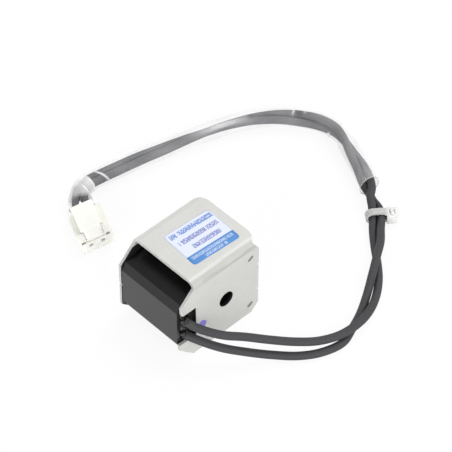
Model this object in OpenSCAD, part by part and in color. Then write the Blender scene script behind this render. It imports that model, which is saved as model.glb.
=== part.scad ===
// Reversing valve coil: a moulded solenoid coil in a folded steel yoke, with two
// insulated leads that run through a cable tie and a clear sleeve to a two way connector.
// Millimetres. +Z is up and the coil stands on its yoke. The coil's axis lies along Y:
// the valve tube enters from +Y, and the fixing screw goes in from -Y. The leads leave
// through the notch on the -X side.

/* [Yoke] */
// Width of the two legs, along X
yoke_w = 38; // [30:0.5:60]
// Outer depth over both legs, along Y
yoke_d = 31.2; // [26:0.2:50]
// Gap between the round coil and the underside of the top plate
top_gap = 2.8; // [1:0.1:8]
// Gap between the round coil and the level of the feet
foot_gap = 1.2; // [0.5:0.1:8]
// Sheet thickness
sheet = 1.2; // [0.8:0.1:2]
// Outer radius of the two bends
bend_r = 3; // [2:0.1:5]
// Coil axis from the right edge of the legs
axis_from_right = 15.8; // [15:0.1:25]
// Step from the left edge of the legs to the left edge of the top plate
left_step = 6.8; // [3:0.1:9]
// Height of the upper left slant
left_slant_h = 6.9; // [3:0.1:10]
// Straight neck between the top face and the upper left slant
left_neck = 2.8; // [1:0.1:5]
// Corner cut at the lower left of the legs
foot_cut_left = 6.5; // [2:0.1:8]
// Corner cut at the lower right of the legs
foot_cut_right = 3.3; // [1:0.1:6]
// Drop from the top face to the inner corner of the relief on each bend
relief_neck = 1.1; // [0.8:0.1:2]
// Drop from the top face to the lower end of the relief's shoulder on the legs
relief_drop = 4.7; // [3.5:0.1:8]
// Radius of the top plate's right corners
plate_corner_r = 6.3; // [5.8:0.1:8]
// Reach of the top plate's right corners, measured from the face of the legs
plate_corner_reach = 6.1; // [5.6:0.1:6.6]
// Diameter of the fixing screw hole in the front leg
screw_hole_d = 6.3; // [4:0.1:8]
// Depth of the lead notch in the front leg
notch_depth = 7.8; // [5:0.1:9]
// Drop from the coil axis to the lower edge of the lead notch
notch_drop = 7.5; // [6:0.1:9]
// Height of the lead notch
notch_h = 14.2; // [12:0.1:16]
// Radius of the notch's upper lip
notch_lip_r = 1.2; // [0.4:0.1:2]
// Distance of the punch marks from the axis, sideways
mark_x = 11.8; // [9:0.1:13]
// Distance of the punch marks from the axis, up and down
mark_z = 12; // [8:0.1:14]
// Length of a punch mark
mark_len = 2.7; // [1:0.1:4]
// Width of a punch mark
mark_w = 1.7; // [0.5:0.1:1.8]
// Tilt of a punch mark
mark_tilt = 30; // [0:5:90]
// Depth of a punch mark
mark_depth = 0.3; // [0.2:0.1:0.9]
// Radius of the edge nicks
nick_r = 0.7; // [0.3:0.1:1.2]
// Distance of the right edge nicks from the axis height
nick_z = 6.4; // [3:0.1:9]

/* [Coil] */
// Outside diameter of the valve tube that enters the coil
tube_d = 14.5; // [10:0.1:15]
// Radial clearance of the valve tube in the bobbin
tube_gap = 0.15; // [0.05:0.05:0.4]
// Outside diameter of the bobbin's core
core_d = 18.6; // [17.6:0.1:20]
// Thickness of the copper winding
winding_t = 3.6; // [2:0.1:5]
// Rim of the bobbin's flanges outside the winding
flange_rim = 1.3; // [0.8:0.1:2]
// Thickness of the bobbin's flanges
flange_t = 1.3; // [0.8:0.1:2]
// Thickness of the tape over the winding
tape_t = 0.3; // [0.1:0.05:0.5]
// Width of the tape
tape_w = 17; // [8:0.5:18]
// Thickness of the moulding over the rim of the flanges
mould_wall = 1.1; // [0.8:0.1:2]
// Gap between the moulding and each leg of the yoke
mould_end_gap = 0.3; // [0.1:0.05:0.8]
// Thickness of the moulding over the end of the bobbin's flanges
mould_end_wall = 1.1; // [0.8:0.1:1.8]
// Set back of the moulding's flat side from the left edge of the legs
mould_set_back = 0.1; // [0:0.05:1]
// Height of the moulding's flat side
side_face_h = 15.8; // [14:0.1:18]
// Width of the bevels above and below the flat side
side_bevel_w = 1.7; // [0.5:0.1:3]
// Height of the bevels above and below the flat side
side_bevel_h = 3.2; // [1:0.1:4]
// Depth of the pocket that the leads come out of
pocket_depth = 4; // [2:0.1:5]
// Width of the lead pocket
pocket_w = 4; // [3.6:0.1:4.6]
// Length of the rolled flux sleeve
flux_len = 11; // [6:0.5:13]
// Wall of the rolled flux sleeve
flux_wall = 0.8; // [0.5:0.1:1]
// Open seam of the rolled flux sleeve
flux_seam = 0.8; // [0.3:0.1:2]

/* [Leads] */
// Diameter of a lead over its insulation
lead_d = 3.1; // [2.4:0.1:3.1]
// Diameter of the bare strands
strand_d = 1.5; // [0.8:0.1:1.6]
// Height of the upper lead's root above the lower edge of the notch
lead_rise_upper = 9.5; // [9:0.1:10]
// Height of the lower lead's root above the lower edge of the notch
lead_rise_lower = 2.5; // [2.3:0.1:3]
// Distance of the leads' roots from the left edge of the legs
lead_in = 3.5; // [3.2:0.1:3.8]
// Outside diameter of the clear sleeve
sleeve_d = 7.8; // [7.7:0.1:7.9]
// Wall of the clear sleeve
sleeve_wall = 0.35; // [0.2:0.05:0.4]
// Width of the cable tie's band
tie_w = 2.7; // [2:0.1:4]
// Thickness of the cable tie's band
tie_t = 0.9; // [0.6:0.1:1]

/* [Connector] */
// Length of the connector housing
plug_len = 16.6; // [15:0.1:20]
// Width of the housing between its rails
plug_w = 8.9; // [8.8:0.1:12]
// Width of each side rail
rail_w = 2.1; // [1.8:0.1:3]
// Height of the housing's main block
plug_h = 5.5; // [5.3:0.1:5.6]
// Spacing of the two contacts
pitch = 4.7; // [4.6:0.05:4.8]
// Width of a contact cavity
cavity_w = 3.6; // [3.55:0.05:3.7]
// Height of a contact cavity
cavity_h = 3.6; // [3.55:0.05:3.7]
// Length of the latch lever's raised thumb plate
thumb_len = 12.4; // [10:0.1:12.6]
// Top of the latch lever's thumb plate
thumb_z = 7.9; // [7.8:0.1:9]
// Thickness of the thumb plate
thumb_t = 1.1; // [0.8:0.1:1.2]
// Diameter of the latch lever's pivot
pivot_d = 1.2; // [1:0.1:1.4]

/* [Label] */
// Length of the label, along X
label_l = 20.8; // [10:0.1:26]
// Width of the label, along Y
label_w = 17.4; // [8:0.1:20]
// Thickness of the label
label_t = 0.12; // [0.05:0.01:0.3]
// Turn of the label on the top plate
label_turn = -3; // [-8:0.5:8]
// Corner radius of the label
label_r = 1.2; // [0.4:0.1:3]

/* [Fits] */
// Radial clearance between pieces that are seated in each other
fit_gap = 0.05; // [0.02:0.01:0.1]
// Clearance beside the latch lever
lever_gap = 0.2; // [0.1:0.05:0.4]
// Radial clearance of the latch lever's pivot
pivot_gap = 0.06; // [0.03:0.01:0.1]

/* [Hidden] */
$fn = 64;
eps = 0.01;

// Yoke, worked out from the sizes above
left_x = -yoke_w / 2;
right_x = yoke_w / 2;
front_y = -yoke_d / 2;
rear_y = yoke_d / 2;
winding_d = core_d + 2 * winding_t;
flange_d = winding_d + 2 * flange_rim;
mould_d = flange_d + 2 * mould_wall;
axis_x = right_x - axis_from_right;
axis_z = foot_gap + mould_d / 2;
yoke_h = axis_z + mould_d / 2 + top_gap + sheet;
plate_left_x = left_x + left_step;
slant_top_z = yoke_h - left_neck;
notch_z = axis_z - notch_drop;
notch_top_z = notch_z + notch_h;
lip_x = left_x + 1;
tube_hole_d = tube_d + 2 * tube_gap + 0.4;

// Coil, along Y about its axis
mould_half = yoke_d / 2 - sheet - mould_end_gap;
flange_y = mould_half - mould_end_wall;
bobbin_bore_d = tube_d + 2 * tube_gap;
flux_bore_d = bobbin_bore_d + 0.2;
flux_od = flux_bore_d + 2 * flux_wall;
flux_front_y = -mould_half;
winding_half = flange_y - flange_t - fit_gap;
tape_front_y = -winding_half + fit_gap;
side_x = left_x + mould_set_back;
side_face_z = axis_z - side_face_h / 2;
side_top_z = axis_z + side_face_h / 2;
lead_x = left_x + lead_in;
lead_z_upper = notch_z + lead_rise_upper;
lead_z_lower = notch_z + lead_rise_lower;
pocket_floor_y = -mould_half + pocket_depth;
pocket_margin = 1;

// Splices inside the moulding, along Y from where the insulation stops
lead_end_y = -3;
ferrule_d = 2.5;
ferrule_len = 6;
ferrule_y = lead_end_y + 1.2;
cover_d = 3.6;
cover_len = 8.2;
tail_d = 0.7;
tail_step = 2.8;
tail_y = lead_end_y + cover_len + tail_step;

// Cable tie and clear sleeve
pair_gap = 0.25;
pair_offset = lead_d / 2 + pair_gap / 2;
lead_sides = 8;
sleeve_sides = 12;
tie_head = [4.2, 4.6, 4];
tie_slit = 0.3;
tie_slit_depth = 0.6;

// Connector: where its rear face lies, how far it is turned from -Y, and its lean onto the left rail
plug_x = 2.87;
plug_y = 59.08;
plug_turn = 23.4;
plug_lean = 13.5;
rail_x = plug_w / 2 + rail_w;
plug_lift = rail_x * sin(plug_lean);
cavity_z = 3.1;
lead_in_plug = 3.4;
rail_h = 4.3;
rail_rear = 0.3;
cheek_h = 6.9;
cheek_y = thumb_len + 0.4;
pivot_y = plug_len - 2.7;
pivot_z = 5.9;
nose_half = plug_w / 2 - 1.05;
nose_t = 0.8;
nose_top = cheek_h - 0.6;

// Routes of the leads: the free run of each, then the shared run of the pair
upper_free = [[-13.5, -17.5, 18], [-8.6, -25, 15], [-1, -29.8, 11.5], [6.1, -34.8, 8.5],
    [13.2, -40.4, 6.5], [20, -44.8, 5.2], [27.5, -47.9, 4.9], [36.3, -48.6, 4.8], [43.3, -46.8, 3.6],
    [51.9, -42.4, 2], [58.9, -37, 1.6], [64.2, -31.3, 1.6], [68.6, -25.5, 1.6], [74.1, -19, 1.9]];
lower_free = [[-13.5, -18.5, 10.5], [-8.6, -25.1, 8], [-2.2, -30.3, 5], [5.2, -36.4, 2.5],
    [12.6, -43, 1.6], [19.1, -47.1, 1.6], [28.1, -49.2, 1.6], [34.9, -47, 1.6], [42.2, -44, 1.6],
    [49.7, -39.9, 2.3], [57.4, -35.2, 4.2], [64.8, -30.4, 4.9], [70.7, -26.4, 4.4], [76.5, -21.5, 3.4]];
pair_route = [[80.4, -15.4, 2.7], [83, -12, 3.1], [84.6, -8.7, 3.6], [86.9, -5.8, 3.9],
    [88.7, -2.5, 4], [92.7, 4.6, 4], [96, 12.3, 4], [99, 19.4, 4], [100.5, 26, 4],
    [99, 33, 4], [95, 40, 4], [89.3, 46.4, 4], [81.5, 52, 4], [73, 56, 4],
    [64, 59, 4], [55, 61.5, 4], [45.5, 63.7, 4], [36, 66, 4], [27, 67.7, 4],
    [19, 69.1, 4], [13.8, 69.7, 4], [9.6, 68.6, 4.1], [6.6, 66.4, 4.2], [4.6, 63.9, 4.4],
    [3.2, 61.3, 4.5]];
pair_turn = [180, 150, 115, 76, 36, -4, -38, -69, -93, -118, -149, -172, -186, -190, -190, -190,
    -190, -189, -186, -185, -185, -187, -190, -192, -193.5];
sleeve_first = 4;

// Direction of a route at point i, and the level direction to its right
function unit(v) = v / norm(v);
function along(p, i) = unit(p[min(i + 1, len(p) - 1)] - p[max(i - 1, 0)]);
function beside(p, i) = unit(cross(along(p, i), [0, 0, 1]));
function above(p, i) = cross(beside(p, i), along(p, i));

// One lead of the pair: the shared route moved aside by the offset, at each point's turn
function pair_side(turn) = [for (i = [0 : len(pair_route) - 1])
    pair_route[i] + pair_offset * (cos(pair_turn[i] + turn) * beside(pair_route, i)
        + sin(pair_turn[i] + turn) * above(pair_route, i))];

// A point given beside and behind the connector's rear face, in the part's frame
function in_plug(x, y, z) = let (level = x * cos(plug_lean) - z * sin(plug_lean))
    [plug_x + level * cos(plug_turn) + y * sin(plug_turn),
     plug_y - level * sin(plug_turn) + y * cos(plug_turn),
     plug_lift + x * sin(plug_lean) + z * cos(plug_lean)];

// Whole lead, from its end in the moulding to its end in the connector
function lead_route(z, free, turn, plug_side) = concat(
    [[lead_x, lead_end_y, z], [lead_x, -mould_half, z]], free, pair_side(turn),
    [in_plug(plug_side * pitch / 2, -0.5, cavity_z),
     in_plug(plug_side * pitch / 2, -lead_in_plug, cavity_z)]);

// Rings of a round section carried along a route, and the faces that join them
function ring(p, i, r, n) = [for (k = [0 : n - 1])
    p[i] + r * (cos(360 * k / n) * beside(p, i) + sin(360 * k / n) * above(p, i))];
function rings(p, r, n) = [for (i = [0 : len(p) - 1]) each ring(p, i, r, n)];
function skin(count, n, base, inward) = [for (i = [0 : count - 2], k = [0 : n - 1])
    let (a = base + i * n + k, b = base + i * n + (k + 1) % n, c = b + n, d = a + n)
    each (inward ? [[c, b, a], [d, c, a]] : [[a, b, c], [a, c, d]])];

module cord(route, d, n) {
    count = len(route);
    first = [for (k = [n - 1 : -1 : 0]) k];
    last = [for (k = [0 : n - 1]) (count - 1) * n + k];
    polyhedron(rings(route, d / 2, n), concat([first], skin(count, n, 0, false), [last]));
}

module hollow_cord(route, d, wall, n) {
    count = len(route);
    inner = count * n;
    end = (count - 1) * n;
    first = [for (k = [0 : n - 1]) let (m = (k + 1) % n)
        each [[inner + k, inner + m, m], [inner + k, m, k]]];
    last = [for (k = [0 : n - 1]) let (m = (k + 1) % n)
        each [[end + k, end + m, inner + end + m], [end + k, inner + end + m, inner + end + k]]];
    polyhedron(concat(rings(route, d / 2, n), rings(route, d / 2 - wall, n)),
        concat(first, skin(count, n, 0, false), skin(count, n, inner, true), last));
}

// Puts a shape drawn about the Z axis onto the coil's axis, with its z along Y
module on_axis() {
    translate([axis_x, 0, axis_z]) rotate([-90, 0, 0]) children();
}

// A cylinder along Y between two values of y
module rod_y(x, z, y0, y1, d) {
    translate([x, y0, z]) rotate([-90, 0, 0]) cylinder(d = d, h = y1 - y0);
}

// A ring along Y on the coil's axis
module ring_y(y0, y1, od, id) {
    on_axis() translate([0, 0, y0]) difference() {
        cylinder(d = od, h = y1 - y0);
        translate([0, 0, -eps]) cylinder(d = id, h = y1 - y0 + 2 * eps);
    }
}

// A shape drawn in X and Z, carried along Y
module plate_y(y0, y1) {
    translate([0, y1, 0]) rotate([90, 0, 0]) linear_extrude(y1 - y0) children();
}

// Outline of the folded sheet in Y and Z: a square arch with rounded upper corners
module arch(depth, height, r) {
    translate([-depth / 2, -1]) square([depth, height - r + 1]);
    translate([-depth / 2 + r, -1]) square([depth - 2 * r, height + 1]);
    for (s = [-1, 1]) translate([s * (depth / 2 - r), height - r]) circle(r);
}

// Outline of the legs in X and Z, with the slant at the upper left and the cut feet
module leg_outline() {
    polygon([[left_x + foot_cut_left, 0], [right_x - foot_cut_right, 0], [right_x, foot_cut_right],
        [right_x, yoke_h + 1], [plate_left_x, yoke_h + 1], [plate_left_x, slant_top_z],
        [left_x, slant_top_z - left_slant_h], [left_x, foot_cut_left]]);
}

// Notch for the leads, open to the left, with a rounded lip at its upper edge
module lead_notch() {
    translate([left_x - 1, notch_z]) square([notch_depth + 1, notch_h]);
    difference() {
        translate([left_x - 1, notch_top_z - 1]) square([lip_x - left_x + 1 + notch_lip_r, notch_lip_r + 1]);
        translate([lip_x + notch_lip_r, notch_top_z + notch_lip_r]) circle(notch_lip_r);
        translate([lip_x + notch_lip_r, notch_top_z]) square([1, 3]);
    }
    translate([left_x - 1, notch_top_z]) square([lip_x - left_x + 1, slant_top_z - notch_top_z]);
}

// Relief at the right end of a bend: outside the round corner of the top plate, which runs out
// into a straight neck, all that stands above the leg's sloping shoulder is cut away
module bend_relief(s) {
    neck_x = right_x - plate_corner_r + sqrt(pow(plate_corner_r, 2) - pow(plate_corner_reach - sheet, 2));
    neck_z = yoke_h - relief_neck;
    shoulder_slope = (relief_drop - relief_neck) / (right_x - neck_x);
    edge_y = s * (rear_y - plate_corner_reach);
    intersection() {
        plate_y(min(edge_y, s * (rear_y + 1)), max(edge_y, s * (rear_y + 1)))
            polygon([[right_x + 1, yoke_h - relief_drop - shoulder_slope], [neck_x, neck_z],
                [neck_x, yoke_h + 1], [right_x + 1, yoke_h + 1]]);
        translate([0, 0, yoke_h - relief_drop - shoulder_slope - 1]) linear_extrude(yoke_h) difference() {
            translate([neck_x, min(edge_y, s * (rear_y + 1))]) square([yoke_w, plate_corner_reach + 1]);
            translate([right_x - plate_corner_r, edge_y]) circle(plate_corner_r);
        }
    }
}

// A slot with round ends
module slot(len, w) {
    square([len - w, w], center = true);
    for (s = [-1, 1]) translate([s * (len - w) / 2, 0]) circle(d = w);
}

// Folded steel yoke: two legs and a top plate of one bent sheet
module yoke() {
    color("silver") difference() {
        intersection() {
            translate([left_x, 0, 0]) rotate([90, 0, 90]) linear_extrude(yoke_w) difference() {
                arch(yoke_d, yoke_h, bend_r);
                arch(yoke_d - 2 * sheet, yoke_h - sheet, bend_r - sheet);
            }
            plate_y(front_y - 1, rear_y + 1) leg_outline();
        }
        plate_y(front_y - 1, front_y + bend_r) lead_notch();
        for (s = [-1, 1]) bend_relief(s);
        rod_y(axis_x, axis_z, front_y - 1, front_y + sheet + 1, screw_hole_d);
        rod_y(axis_x, axis_z, rear_y - sheet - 1, rear_y + 1, tube_hole_d);
        for (s = [-1, 1]) {
            plate_y(front_y - 1, front_y + mark_depth)
                translate([axis_x + mark_x, axis_z + s * mark_z]) rotate(mark_tilt) slot(mark_len, mark_w);
            plate_y(front_y - 1, rear_y + 1)
                translate([right_x + nick_r / 3, axis_z + s * nick_z]) circle(nick_r, $fn = 24);
        }
        plate_y(0, rear_y + 1) translate([left_x - nick_r / 3, axis_z]) circle(nick_r, $fn = 24);
    }
}

// Steel sleeve rolled from strip, inside the front half of the bobbin
module flux_sleeve() {
    color("gray") difference() {
        ring_y(flux_front_y, flux_front_y + flux_len, flux_od, flux_bore_d);
        on_axis() translate([0, -flux_seam / 2, flux_front_y - 1]) cube([flux_od, flux_seam, flux_len + 2]);
    }
}

// Spool that carries the winding, bored for the valve tube and stepped for the flux sleeve
module bobbin() {
    seat_y = flux_front_y + flux_len + fit_gap;
    seat_r = flux_od / 2 + fit_gap;
    color("tan") on_axis() rotate_extrude() polygon([
        [seat_r, -mould_half], [core_d / 2, -mould_half], [core_d / 2, -flange_y],
        [flange_d / 2, -flange_y], [flange_d / 2, -flange_y + flange_t], [core_d / 2, -flange_y + flange_t],
        [core_d / 2, flange_y - flange_t], [flange_d / 2, flange_y - flange_t], [flange_d / 2, flange_y],
        [core_d / 2, flange_y], [core_d / 2, mould_half], [bobbin_bore_d / 2, mould_half],
        [bobbin_bore_d / 2, seat_y], [seat_r, seat_y]]);
}

// Copper winding, as one solid ring of its outer shape
module winding() {
    color("chocolate") ring_y(-winding_half, winding_half, winding_d, core_d + 2 * fit_gap);
}

// Insulating tape over the part of the winding in front of the wire ends
module winding_tape() {
    color("gold") ring_y(tape_front_y, tape_front_y + tape_w, winding_d + 2 * fit_gap + 2 * tape_t,
        winding_d + 2 * fit_gap);
}

// Outline of the lead block in X and Z: it runs from the round coil to a flat side with bevels
module block_outline() {
    r = 0.985 * mould_d / 2;
    turn = 106;
    polygon([[axis_x, axis_z], [axis_x + r * cos(turn), axis_z - r * sin(turn)],
        [side_x + side_bevel_w, side_face_z - side_bevel_h], [side_x, side_face_z], [side_x, side_top_z],
        [side_x + side_bevel_w, side_top_z + side_bevel_h], [axis_x + r * cos(turn), axis_z + r * sin(turn)]]);
}

// Black moulding round the bobbin, with the lead pocket and the splice chambers in its block
module coil_moulding() {
    color([0.13, 0.13, 0.14]) difference() {
        union() {
            rod_y(axis_x, axis_z, -mould_half, mould_half, mould_d);
            plate_y(-mould_half, mould_half) block_outline();
        }
        rod_y(axis_x, axis_z, -mould_half - 1, mould_half + 1, core_d + 2 * fit_gap);
        for (s = [-1, 1]) {
            y = s * (flange_y - flange_t / 2);
            rod_y(axis_x, axis_z, y - flange_t / 2 - fit_gap, y + flange_t / 2 + fit_gap, flange_d + 2 * fit_gap);
        }
        rod_y(axis_x, axis_z, -flange_y + fit_gap, flange_y - fit_gap, winding_d + 2 * tape_t + 4 * fit_gap);
        translate([lead_x - pocket_w / 2, -mould_half - 1, notch_z + pocket_margin / 2])
            cube([pocket_w, pocket_depth + 1, notch_h - pocket_margin]);
        for (z = [lead_z_lower, lead_z_upper]) {
            rod_y(lead_x, z, pocket_floor_y - 1, lead_end_y, lead_d + 2 * fit_gap);
            rod_y(lead_x, z, lead_end_y - eps, tail_y + tail_d, cover_d + 2 * fit_gap);
            translate([lead_x, tail_y, z]) rotate([0, 90, 0])
                cylinder(d = tail_d + 2 * fit_gap, h = axis_x - lead_x - core_d / 2, $fn = 24);
        }
    }
}

// End of the winding's wire: out of the ferrule, then across to the winding
module winding_tail(z) {
    reach = axis_x - sqrt(pow(winding_d / 2 + fit_gap, 2) - pow(abs(z - axis_z) - tail_d / 2, 2)) - lead_x;
    start = ferrule_y + ferrule_len / 2;
    color("peru") union() {
        rod_y(lead_x, z, start, tail_y, tail_d, $fn = 24);
        translate([lead_x, tail_y, z]) sphere(d = tail_d, $fn = 24);
        translate([lead_x, tail_y, z]) rotate([0, 90, 0]) cylinder(d = tail_d, h = reach, $fn = 24);
    }
}

// Crimped ferrule that joins a lead to the winding
module splice(z) {
    bore = strand_d + 2 * fit_gap;
    mid = ferrule_y + ferrule_len / 2;
    color("lightgray") difference() {
        rod_y(lead_x, z, ferrule_y, ferrule_y + ferrule_len, ferrule_d);
        rod_y(lead_x, z, ferrule_y - 1, mid - fit_gap, bore);
        rod_y(lead_x, z, mid - 1, ferrule_y + ferrule_len + 1, tail_d + 2 * fit_gap);
    }
}

// Insulating tube over a ferrule
module splice_cover(z) {
    color("ivory") difference() {
        rod_y(lead_x, z, lead_end_y + fit_gap, lead_end_y + cover_len, cover_d);
        rod_y(lead_x, z, lead_end_y - 1, lead_end_y + cover_len + 1, ferrule_d + 2 * fit_gap);
    }
}

// Bare strands of both leads in their ferrules
module strands_coil_end() {
    color("orange") for (z = [lead_z_lower, lead_z_upper])
        rod_y(lead_x, z, lead_end_y, ferrule_y + ferrule_len / 2 - 2 * fit_gap, strand_d);
}

module lead_upper() {
    color([0.25, 0.25, 0.26]) cord(lead_route(lead_z_upper, upper_free, 0, 1), lead_d, lead_sides);
}

module lead_lower() {
    color([0.2, 0.2, 0.21]) cord(lead_route(lead_z_lower, lower_free, 180, -1), lead_d, lead_sides);
}

// Clear sleeve over the pair, from past the tie to the connector
module clear_sleeve() {
    color([0.8, 0.85, 0.9, 0.4]) hollow_cord([for (i = [sleeve_first : len(pair_route) - 1]) pair_route[i]],
        sleeve_d, sleeve_wall, sleeve_sides);
}

// Loop of the tie's band round two leads side by side
module tie_loop(grow) {
    h = lead_d + 2 * pair_gap + 2 * grow;
    square([2 * pair_offset, h], center = true);
    for (s = [-1, 1]) translate([s * pair_offset, 0]) circle(d = h);
}

// Cable tie: band, head with the ratchet slot, and the stub of the cut tail
module cable_tie() {
    side = beside(pair_route, 0);
    band_x = pair_offset + lead_d / 2 + pair_gap;
    head_z = -pair_route[0][2] + 0.3;
    color("white") translate(pair_route[0]) rotate([0, 0, atan2(side[1], side[0])]) {
        difference() {
            union() {
                plate_y(-tie_w / 2, tie_w / 2) tie_loop(tie_t);
                translate([band_x, -tie_head[1] / 2, head_z]) cube(tie_head);
                translate([band_x + tie_head[0] / 2 - tie_t / 2, -tie_w / 2, head_z]) cube([tie_t, tie_w, tie_head[2] + 0.6]);
            }
            plate_y(-tie_w, tie_w) tie_loop(0);
            plate_y(-tie_head[1], tie_head[1]) tie_loop(0);
            for (s = [-1, 1]) translate([band_x + tie_head[0] / 2 + s * tie_t - tie_slit / 2, -tie_w / 2,
                    head_z + tie_head[2] - tie_slit_depth])
                cube([tie_slit, tie_w, tie_head[2]]);
        }
    }
}

// Puts a shape drawn with its rear face at y = 0, pointing to -Y, where the connector lies
module at_plug() {
    translate([plug_x, plug_y, plug_lift]) rotate([0, 0, -plug_turn]) rotate([0, -plug_lean, 0]) children();
}

// Connector housing: two contact cavities, side rails, and cheeks that carry the latch lever
module connector_housing() {
    mouth = 1.4;
    front_wall = 1.2;
    cheek_in = nose_half + lever_gap;
    cheek_w = rail_x - cheek_in;
    window = [1.5, 1.7, 1.15];
    color("white") at_plug() difference() {
        union() {
            translate([-plug_w / 2, -plug_len, 0]) cube([plug_w, plug_len, plug_h]);
            translate([-rail_x, -plug_len, 0]) cube([2 * rail_x, plug_len - rail_rear, rail_h]);
            for (s = [-1, 1]) translate([s * (cheek_in + cheek_w / 2) - cheek_w / 2, -plug_len, 0])
                cube([cheek_w, plug_len - cheek_y, cheek_h]);
        }
        for (s = [-1, 1]) translate([s * pitch / 2, 0, cavity_z]) {
            translate([-cavity_w / 2, -plug_len + front_wall, -cavity_h / 2]) cube([cavity_w, plug_len, cavity_h]);
            translate([-mouth / 2, -plug_len - 1, -mouth / 2]) cube([mouth, plug_len, mouth]);
        }
        translate([-rail_x - 1, -pivot_y, pivot_z]) rotate([0, 90, 0])
            cylinder(d = pivot_d + 2 * pivot_gap, h = 2 * rail_x + 2, $fn = 32);
        translate([-cheek_in, -plug_len - 1, plug_h - 0.4]) cube([2 * cheek_in, plug_len - cheek_y + 1, 3]);
        for (s = [-1, 1]) {
            translate([s * (cheek_in + 0.4 + window[0] / 2) - window[0] / 2, -plug_len - eps, plug_h - 0.5])
                cube(window);
            translate([s * rail_x, -plug_len / 2 + 1, rail_h / 2]) cube([1, plug_len / 2, 0.8], center = true);
        }
    }
}

// Latch lever: a thumb plate that rocks on a cross pivot and lifts the nose in front of it
module latch_lever() {
    half = plug_w / 2 - lever_gap;
    under = thumb_z - thumb_t;
    color("whitesmoke") at_plug() {
        translate([-half, -thumb_len, under]) cube([2 * half, thumb_len, thumb_t]);
        translate([0, 0, under]) linear_extrude(thumb_t) polygon([[-0.9, -0.5], [0.9, -0.5], [0.1, 1.3]]);
        rotate([90, 0, -90]) translate([0, 0, -nose_half]) linear_extrude(2 * nose_half) polygon([
            [thumb_len - 3, under], [thumb_len - 3, thumb_z], [thumb_len, thumb_z], [pivot_y + 1.2, nose_top + 0.2],
            [plug_len - 0.2, nose_top], [plug_len - 0.2, nose_top - nose_t], [pivot_y + 0.4, pivot_z - 0.65],
            [pivot_y - 0.6, pivot_z - 0.55], [pivot_y - 1.6, under]]);
        translate([-rail_x + lever_gap, -pivot_y, pivot_z]) rotate([0, 90, 0])
            cylinder(d = pivot_d, h = 2 * rail_x - 2 * lever_gap, $fn = 32);
    }
}

// Crimp contact: spring box in front, then the strand crimp and the insulation crimp
module contact(s) {
    box_w = cavity_w - 0.6;
    wall = 0.3;
    box_len = 7;
    box_y = -plug_len + 1.6;
    strand_y = -lead_in_plug;
    floor_z = -cavity_h / 2 + fit_gap;
    color("khaki") at_plug() translate([s * pitch / 2, 0, cavity_z]) {
        difference() {
            translate([-box_w / 2, box_y, floor_z]) cube([box_w, box_len, box_w]);
            translate([-box_w / 2 + wall, box_y - 1, floor_z + wall]) cube([box_w - 2 * wall, box_len + 2, box_w - 2 * wall]);
        }
        translate([-box_w / 4, box_y + box_len - eps, floor_z]) cube([box_w / 2, -box_y - box_len - 1, wall]);
        difference() {
            rod_y(0, 0, strand_y - 2.4, strand_y - 0.4, strand_d + 2 * fit_gap + 2 * wall);
            rod_y(0, 0, strand_y - 3, strand_y, strand_d + 2 * fit_gap);
        }
        translate([-wall, strand_y - 2.4, floor_z]) cube([2 * wall, 2, -floor_z - strand_d / 2 - fit_gap - wall / 2]);
        difference() {
            rod_y(0, 0, -2.8, -1, lead_d + 2 * fit_gap + wall);
            rod_y(0, 0, -3, 0, lead_d + 2 * fit_gap);
        }
    }
}

// Bare strands of both leads in their contacts
module strands_plug_end() {
    color("orange") at_plug() for (s = [-1, 1])
        rod_y(s * pitch / 2, cavity_z, -lead_in_plug - 2.6, -lead_in_plug, strand_d);
}

// Paper label on the top plate
module label() {
    color([0.93, 0.93, 0.97]) translate([axis_x + 1.8, -1.2, yoke_h]) rotate([0, 0, label_turn])
        linear_extrude(label_t) {
            square([label_l - 2 * label_r, label_w], center = true);
            square([label_l, label_w - 2 * label_r], center = true);
            for (a = [-1, 1], b = [-1, 1])
                translate([a * (label_l / 2 - label_r), b * (label_w / 2 - label_r)]) circle(label_r);
        }
}

yoke();
flux_sleeve();
bobbin();
winding();
winding_tape();
coil_moulding();
winding_tail(lead_z_upper);  // winding_tail_upper
winding_tail(lead_z_lower);  // winding_tail_lower
splice(lead_z_upper);  // splice_upper
splice(lead_z_lower);  // splice_lower
splice_cover(lead_z_upper);  // splice_cover_upper
splice_cover(lead_z_lower);  // splice_cover_lower
strands_coil_end();
lead_upper();
lead_lower();
clear_sleeve();
cable_tie();
connector_housing();
contact(-1);  // contact_left
contact(1);  // contact_right
strands_plug_end();
latch_lever();
label();
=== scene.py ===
"""Dresses the reversing valve coil: its leads, sleeve, tie, label and finishes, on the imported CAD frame."""

import bpy
import numpy as np
from mathutils import Matrix


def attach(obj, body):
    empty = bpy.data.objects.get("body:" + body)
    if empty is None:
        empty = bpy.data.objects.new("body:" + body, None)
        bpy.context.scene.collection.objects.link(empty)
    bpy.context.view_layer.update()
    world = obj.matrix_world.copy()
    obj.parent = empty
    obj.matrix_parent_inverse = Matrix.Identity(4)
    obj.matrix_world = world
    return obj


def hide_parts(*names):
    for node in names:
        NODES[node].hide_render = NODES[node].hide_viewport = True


bl_info = {
    "name": "Reversing valve coil",
    "version": (1, 0, 0),
    "blender": (4, 5, 0),
    "location": "View3D > Sidebar > Coil",
    "description": "Builds the finishes and the flexible pieces of a reversing valve coil",
    "category": "Object",
}

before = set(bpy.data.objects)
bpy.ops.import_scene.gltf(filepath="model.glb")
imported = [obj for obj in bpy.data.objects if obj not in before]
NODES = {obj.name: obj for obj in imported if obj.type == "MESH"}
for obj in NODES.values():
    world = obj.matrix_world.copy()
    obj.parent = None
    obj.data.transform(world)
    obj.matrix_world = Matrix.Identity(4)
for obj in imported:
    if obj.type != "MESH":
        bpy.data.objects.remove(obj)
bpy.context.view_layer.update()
MM = 0.001
UP = np.array([0.0, 0.0, 1.0])

# Lengths below are in millimetres where no unit is given.

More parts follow.
